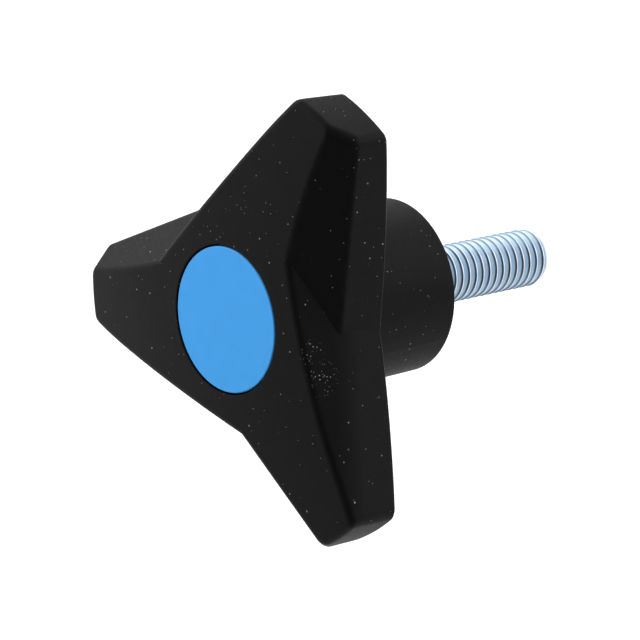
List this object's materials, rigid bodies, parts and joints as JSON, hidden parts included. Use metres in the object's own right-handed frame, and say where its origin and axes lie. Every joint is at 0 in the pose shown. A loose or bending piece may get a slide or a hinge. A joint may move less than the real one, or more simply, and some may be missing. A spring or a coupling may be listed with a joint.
{
  "type": "three-arm clamping knob with threaded stud",
  "caption": "Hand knob with three faceted arms, a round hub, a round coloured cap and a threaded stud, for clamping machine parts by hand.",
  "frame": {"origin": "centre of the hub's seating face, on the stud's axis", "axes": "+Y along the stud, away from the grip; the front with the cap faces -Y; +Z along one arm; +X to the right seen from the front"},
  "size_m": [0.0584, 0.0549, 0.0514],
  "materials": {
    "black_plastic": "fine matte moulding, glass-filled",
    "blue_plastic": "smooth satin",
    "plated_steel": "bright zinc plating, slightly blue"
  },
  "bodies": {
    "root": {"knob_body": "black_plastic", "cap": "blue_plastic", "threaded_stud": "plated_steel"}
  },
  "joints": []
}
